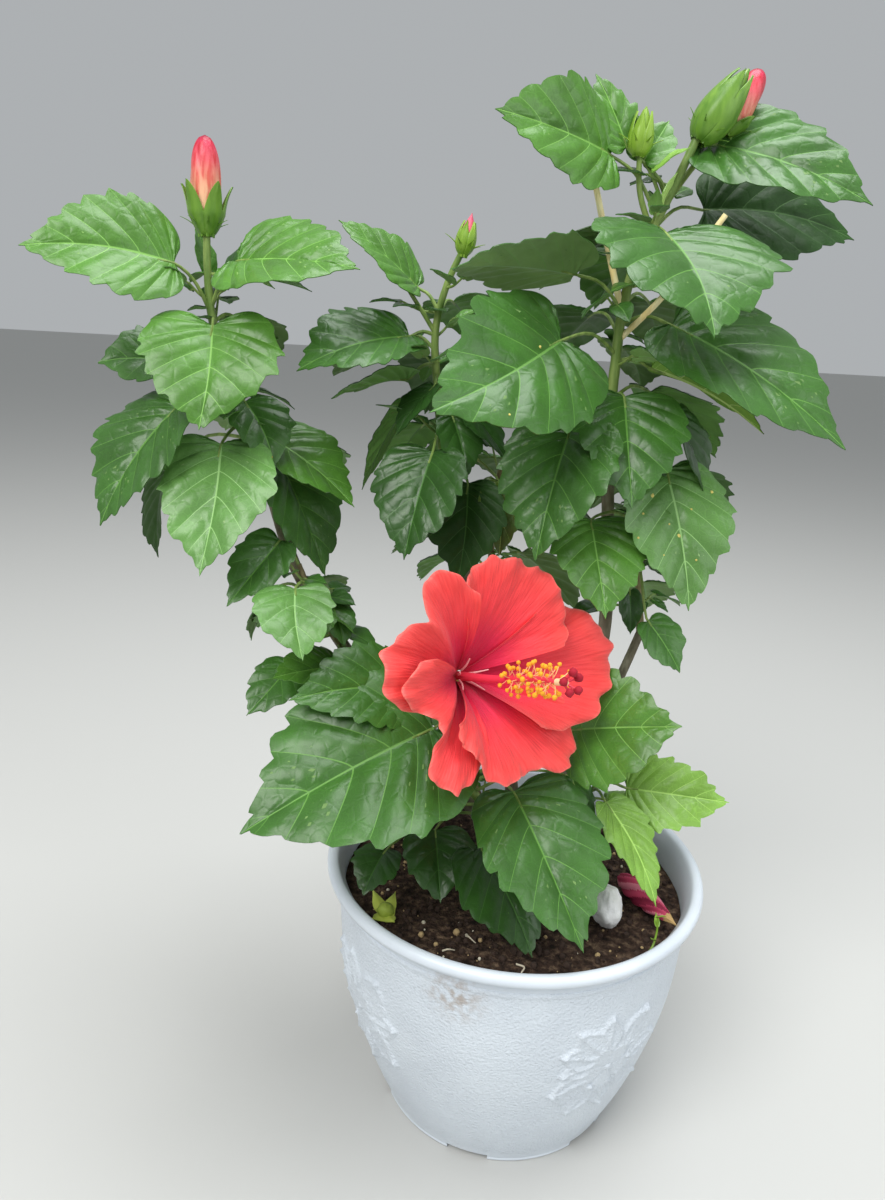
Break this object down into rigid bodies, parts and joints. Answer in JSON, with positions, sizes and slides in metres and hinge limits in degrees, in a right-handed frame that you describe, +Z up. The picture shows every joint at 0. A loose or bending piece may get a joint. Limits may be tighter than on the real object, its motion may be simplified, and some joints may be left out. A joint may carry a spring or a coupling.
{
  "type": "potted hibiscus shrub",
  "caption": "Potted hibiscus shrub: slim branching stems, glossy toothed leaves, a wide red bloom with a long column, pointed buds, in a round tapered white pot of soil.",
  "frame": {"origin": "middle of the flat underside of the pot, which stands on the floor", "axes": "+Z up along the pot's axis; +Y away from the viewer of the picture; +X to that viewer's right"},
  "size_m": [0.4384, 0.2786, 0.6298],
  "materials": {
    "pot_plastic": "bluish white plastic with a fine pebbled surface and a low raised flower relief",
    "soil": "dark, matt and crumbly",
    "bark": "matt grey-brown bark with fine cracks",
    "foliage": "satin green leaves",
    "young_foliage": "satin yellow-green leaves",
    "petals": "satin coral-red petals with a crimson throat",
    "green_stalk": "smooth green stalk",
    "stone": "matt white",
    "withered_petals": "matt and shrivelled"
  },
  "bodies": {
    "root": {"pot": "pot_plastic", "soil": "soil", "trunk": "bark", "left_bough": "bark", "middle_bough": "bark", "right_bough": "bark", "rear_bough": "bark", "rear_right_bough": "bark", "left_head": "foliage", "left_shoot": "foliage", "middle_head": "foliage", "right_head": "foliage", "right_shoot": "foliage", "front_shoot": "foliage", "young_shoot": "young_foliage", "rear_shoot": "foliage", "rear_right_shoot": "foliage", "rear_low_shoot": "foliage", "bloom": "petals", "bloom_stalk": "green_stalk", "white_stone": "stone", "withered_flower": "withered_petals", "fallen_calyx": "young_foliage"}
  },
  "joints": []
}
